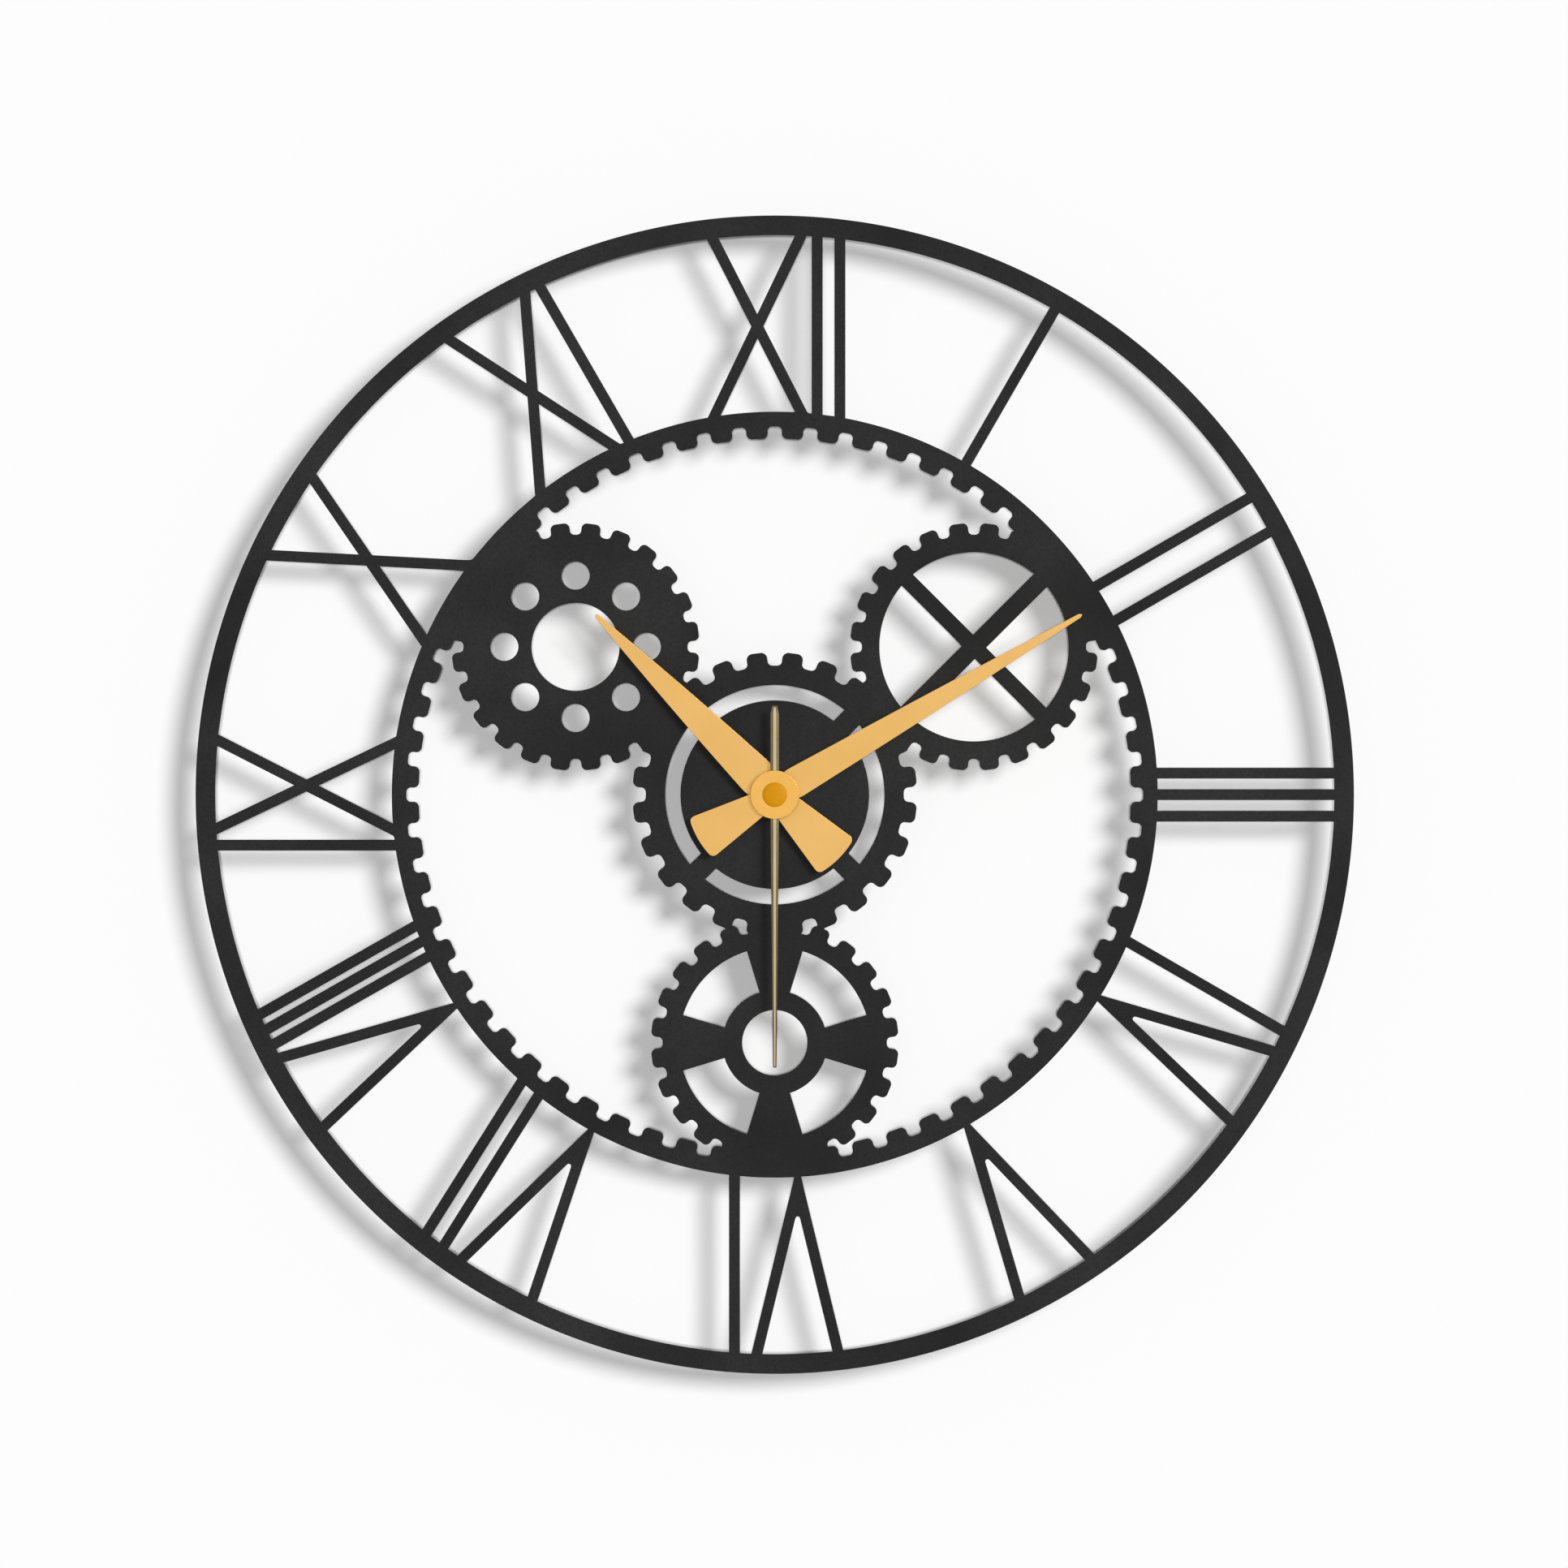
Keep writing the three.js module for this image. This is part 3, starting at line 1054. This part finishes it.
// Motion work: minute pipe, minute wheel and hour wheel
addPart('minute_pipe', cut(
  join(
    gear({
      teeth: MINUTE_PINION_TEETH, size: MINUTE_MODULE, form: PINION_TEETH_FORM,
      span: pinionSpan(minuteLevel),
    }),
    disc(MINUTE_PIPE_RADIUS, centreLevel, handNutFront, middle),
  ),
  disc(MINUTE_PIPE_BORE, centreLevel - 1, handNutFront + 1, middle, SMALL_SIDES),
), materials.brass);

const minuteWheelPhase = meshPhase(0, MINUTE_PINION_TEETH, MINUTE_WHEEL_TEETH, MINUTE_WHEEL_DIRECTION);
const [minuteWheelBack, minuteWheelFront] = wheelSpan(minuteLevel);
addPart('minute_wheel', cut(
  join(
    gear({
      teeth: MINUTE_WHEEL_TEETH, size: MINUTE_MODULE, phase: minuteWheelPhase, form: WHEEL_TEETH_FORM,
      span: [minuteWheelBack, minuteWheelFront], centre: minuteAt,
    }),
    gear({
      teeth: MINUTE_WHEEL_PINION_TEETH, size: hourModule, form: PINION_TEETH_FORM,
      span: [minuteWheelBack, hourLevel + pinionFace], centre: minuteAt,
    }),
  ),
  disc(MINUTE_POST_RADIUS + PIVOT_CLEARANCE, minuteLevel - 1, flangeBack, minuteAt, SMALL_SIDES),
), materials.whitePlastic);

const hourPhase = meshPhase(0, MINUTE_WHEEL_PINION_TEETH, HOUR_WHEEL_TEETH, MINUTE_WHEEL_DIRECTION + 180);
const hourPipeFront = hourHandBack + HAND_THICKNESS + RUN_GAP;
addPart('hour_wheel', cut(
  join(
    gear({
      teeth: HOUR_WHEEL_TEETH, size: hourModule, phase: hourPhase, form: WHEEL_TEETH_FORM,
      span: wheelSpan(hourLevel),
    }),
    disc(HOUR_PIPE_RADIUS, hourLevel + PINION_OVERHANG, hourPipeFront),
  ),
  disc(HOUR_PIPE_BORE, hourLevel - 1, hourPipeFront + 1),
), materials.whitePlastic);

// Bridge that carries the rotor, fifth wheel and third wheel
const bridgeOutline = roundedBox(bridgeLeft, bridgeRight, bridgeLow, bridgeHigh, BRIDGE_MARGIN * 0.8);
const pinionRoom = tipRadius(SECOND_PINION_TEETH, THIRD_MODULE, PINION_TEETH_FORM) + RUN_GAP;
const bridgeHoles = [
  [middle, pinionRoom], [rotorAt, pivotHole], [fifthAt, pivotHole], [thirdAt, pivotHole],
  ...bridgePosts.map((at) => [at, BRIDGE_PIN_RADIUS + FIT_GAP]),
];
addPart('train_bridge', cut(
  slab(bridgeOutline, bridgeBack, bridgeFront),
  ...bridgeHoles.map(([at, radius]) => disc(radius, bridgeBack - 1, bridgeFront + 1, at, SMALL_SIDES)),
), materials.greyPlastic);

// Setting knob at the back, whose pinion turns the minute wheel
const knobPhase = meshPhase(minuteWheelPhase, MINUTE_WHEEL_TEETH, KNOB_PINION_TEETH, KNOB_DIRECTION);
const knobFront = KNOB_RECESS + KNOB_THICKNESS;
const ribbed = Array.from({ length: KNOB_RIBS * 2 }, (_, step) =>
  polar((step * 180) / KNOB_RIBS, KNOB_RADIUS - (step % 2) * KNOB_RIB_DEPTH).add(knobAt));
addPart('setting_knob', join(
  slab(ribbed, KNOB_RECESS, knobFront),
  disc(KNOB_ARBOR_RADIUS, KNOB_RECESS, hourLevel - RUN_GAP, knobAt, SMALL_SIDES),
  disc(PIVOT_RADIUS, KNOB_RECESS, caseInner - 2 * RUN_GAP, knobAt, SMALL_SIDES),
  gear({
    teeth: KNOB_PINION_TEETH, size: MINUTE_MODULE, phase: knobPhase, form: PINION_TEETH_FORM,
    span: pinionSpan(minuteLevel), centre: knobAt,
  }),
), materials.whitePlastic);

// Circuit board with its chip and crystal
addPart('circuit_board', join(
  block(-boardHalf, boardStripRight, boardLow, boardHigh, boardBack, boardFront),
  block(-boardHalf, boardHalf, boardLow, boardArmTop, boardBack, boardFront),
), materials.board);
const chipY = (boardLow + boardHigh) / 2;
addPart('chip_cover', turned([
  point(0, 0), point(CHIP_RADIUS, 0), point(CHIP_RADIUS * 0.9, CHIP_HEIGHT * 0.5),
  point(CHIP_RADIUS * 0.6, CHIP_HEIGHT * 0.9), point(0, CHIP_HEIGHT),
]).translate([boardMiddle, chipY, boardFront]), materials.epoxy);
const crystal = alongX(disc(CRYSTAL_RADIUS, -CRYSTAL_LENGTH / 2, CRYSTAL_LENGTH / 2, middle, SMALL_SIDES),
  0, boardLow + BOARD_ARM_HEIGHT / 2, boardFront + CRYSTAL_RADIUS + FIT_GAP);
addPart('quartz_crystal', crystal.translate([boardMiddle / 2, 0, 0]), materials.steel);

// Battery in its bay, button to the right, and the two contacts
const buttonEnd = innerHalf - CONTACT_THICKNESS - CONTACT_BUMP_HEIGHT - BATTERY_END_GAP;
const batteryStart = buttonEnd - batteryLength;
const batteryProfile = [
  point(0, 0), point(batteryRadius - BATTERY_EDGE, 0), point(batteryRadius, BATTERY_EDGE),
  point(batteryRadius, BATTERY_BODY_LENGTH - BATTERY_EDGE),
  point(batteryRadius - BATTERY_EDGE, BATTERY_BODY_LENGTH),
  point(BATTERY_BUTTON_RADIUS, BATTERY_BODY_LENGTH), point(BATTERY_BUTTON_RADIUS, batteryLength),
  point(0, batteryLength),
];
addPart('battery', alongX(turned(batteryProfile, MIDDLE_SIDES), batteryStart, batteryY, batteryZ),
  materials.batteryWrap);

function contactStrip(side) {
  const outer = side * innerHalf;
  const inner = side * (innerHalf - CONTACT_THICKNESS);
  const left = Math.min(outer, inner);
  const right = Math.max(outer, inner);
  const half = CONTACT_WIDTH / 2;
  const tabBack = boardBack;
  const pad = block(left, right, batteryY - half, bayTop - FIT_GAP, batteryZ - half, batteryZ + half);
  const tab = block(left, right, bayTop - half, boardArmTop, tabBack, tabBack + CONTACT_TAB_WIDTH);
  const riser = block(left, right, bayTop - half, bayTop - FIT_GAP, tabBack, batteryZ);
  return join(pad, tab, riser);
}

const bumpReach = CONTACT_BUMP_HEIGHT + CONTACT_THICKNESS / 2;
const bump = alongX(disc(CONTACT_BUMP_RADIUS, 0, bumpReach, middle, SMALL_SIDES),
  innerHalf - CONTACT_THICKNESS - CONTACT_BUMP_HEIGHT, batteryY, batteryZ);
addPart('positive_contact', join(contactStrip(1), bump), materials.steel);
const leafFoot = -innerHalf + CONTACT_THICKNESS;
const leafCrest = batteryStart - BATTERY_END_GAP;
const leafHalf = CONTACT_WIDTH / 2;
const leaf = slab([
  point(leafFoot - CONTACT_THICKNESS / 2, batteryY - leafHalf), point(leafFoot, batteryY - leafHalf),
  point(leafCrest, batteryY - leafHalf / 4), point(leafCrest, batteryY + leafHalf / 4),
  point(leafFoot, batteryY + leafHalf), point(leafFoot - CONTACT_THICKNESS / 2, batteryY + leafHalf),
], batteryZ - leafHalf / 2, batteryZ + leafHalf / 2);
addPart('negative_contact', join(contactStrip(-1), leaf), materials.steel);

// A sword blade with bowed edges, and a fan tail with rounded corners that ends on an arc about the hub
function handOutline({ length, rootWidth, bow, tailLength, tailWidth, tailRootWidth }) {
  const tailRoot = point(tailRootWidth / 2, -HAND_HUB_RADIUS * 0.6);
  const right = [tailRoot];
  const bladeEnd = length - HAND_TIP_WIDTH / 2;
  for (let step = 0; step <= CORNER_STEPS; step += 1) {
    const share = step / CORNER_STEPS;
    const straight = (rootWidth + (HAND_TIP_WIDTH - rootWidth) * share) / 2;
    const along = HAND_HUB_RADIUS + (bladeEnd - HAND_HUB_RADIUS) * share;
    right.push(point(straight + bow * 4 * share * (1 - share), along));
  }
  const down = (angle, radius) => point(Math.sin(angle) * radius, -Math.cos(angle) * radius);
  const cornerDistance = tailLength - TAIL_CORNER_RADIUS;
  const cornerAngle = Math.asin((tailWidth / 2 - TAIL_CORNER_RADIUS) / cornerDistance);
  const cornerCentre = down(cornerAngle, cornerDistance);
  const side = point(tailWidth / 2, -tailLength).sub(tailRoot);
  const sideAngle = Math.atan2(-side.y, -side.x);
  const tailEnd = [];
  for (let step = 1; step < CORNER_STEPS; step += 1) {
    tailEnd.push(down((cornerAngle * step) / CORNER_STEPS, tailLength));
  }
  for (let step = 0; step <= CORNER_STEPS; step += 1) {
    const angle = cornerAngle + ((sideAngle - cornerAngle) * step) / CORNER_STEPS;
    tailEnd.push(down(angle, TAIL_CORNER_RADIUS).add(cornerCentre));
  }
  const mirrorOf = (outline) => outline.map((corner) => point(-corner.x, corner.y)).reverse();
  return [...right, point(0, length), ...mirrorOf(right), ...mirrorOf(tailEnd),
    point(0, -tailLength), ...tailEnd];
}

function hand(sizes, angle, back, boreRadius) {
  const flat = slab(handOutline(sizes), back, back + HAND_THICKNESS);
  const hub = disc(HAND_HUB_RADIUS, back, back + HAND_THICKNESS, middle, MIDDLE_SIDES);
  const bore = disc(boreRadius + FIT_GAP, back - 1, back + HAND_THICKNESS + 1, middle);
  return cut(join(flat, hub).rotate([0, 0, -angle]), bore);
}

addPart('hour_hand', hand({
  length: HOUR_LENGTH, rootWidth: HOUR_ROOT_WIDTH, bow: HOUR_BOW, tailLength: HOUR_TAIL_LENGTH,
  tailWidth: HOUR_TAIL_WIDTH, tailRootWidth: HOUR_TAIL_ROOT_WIDTH,
}, HOUR_ANGLE, hourHandBack, HOUR_PIPE_RADIUS), materials.gold);
addPart('minute_hand', hand({
  length: MINUTE_LENGTH, rootWidth: MINUTE_ROOT_WIDTH, bow: MINUTE_BOW, tailLength: MINUTE_TAIL_LENGTH,
  tailWidth: MINUTE_TAIL_WIDTH, tailRootWidth: MINUTE_TAIL_ROOT_WIDTH,
}, MINUTE_ANGLE, minuteHandBack, MINUTE_PIPE_RADIUS), materials.gold);
addPart('hand_nut', collar(HAND_NUT_RADIUS, MINUTE_PIPE_RADIUS + FIT_GAP, handNutBack, handNutFront),
  materials.brass);

// Second hand: a needle with sloping sides and a round eye behind a round boss, with a domed cap
function needleOutline(share) {
  const drawIn = (width) => (width / 2) * (1 - share);
  const right = [
    point((NEEDLE_TAIL_TIP_WIDTH / 2) * share, NEEDLE_TAIL_LENGTH - drawIn(NEEDLE_TAIL_TIP_WIDTH)),
    point((NEEDLE_WIDTH / 2) * share, NEEDLE_TAIL_LENGTH - NEEDLE_WIDTH),
    point((NEEDLE_WIDTH / 2) * share, -BOSS_RADIUS),
    point((NEEDLE_TIP_WIDTH / 2) * share, -NEEDLE_LENGTH + drawIn(NEEDLE_TIP_WIDTH)),
  ];
  const left = right.map((corner) => point(-corner.x, corner.y)).reverse();
  return [...right, ...left].reverse();
}

const needle = join(
  taperedSlab(needleOutline(1), needleBack, needleOutline(NEEDLE_TOP_SHARE), bossBack),
  disc(NEEDLE_EYE_RADIUS, needleBack, bossBack, middle),
);
addPart('second_needle', cut(needle,
  disc(BOSS_TUBE_RADIUS + FIT_GAP, needleBack - 1, bossBack + 1, middle)), materials.paleGold);
addPart('second_boss', cut(
  join(
    disc(BOSS_RADIUS, bossBack, bossFront, middle, MIDDLE_SIDES),
    disc(BOSS_TUBE_RADIUS, needleBack, bossFront, middle),
  ),
  disc(SECOND_ARBOR_RADIUS + FIT_GAP, needleBack - 1, bossBack + BOSS_THICKNESS / 2, middle, SMALL_SIDES),
), materials.gold);
addPart('second_cap', turned([
  point(0, 0), point(CAP_RADIUS, 0), point(CAP_RADIUS, CAP_HEIGHT * 0.3),
  point(CAP_RADIUS * 0.9, CAP_HEIGHT * 0.65), point(CAP_RADIUS * 0.6, CAP_HEIGHT * 0.92),
  point(0, CAP_HEIGHT),
], MIDDLE_SIDES).translate([0, 0, bossFront]), materials.deepGold);

// The clock hangs upright: what was drawn forward now faces -Y, and up is +Z
face.rotation.x = QUARTER;
const clock = new THREE.Group();
clock.add(face);

export default clock;
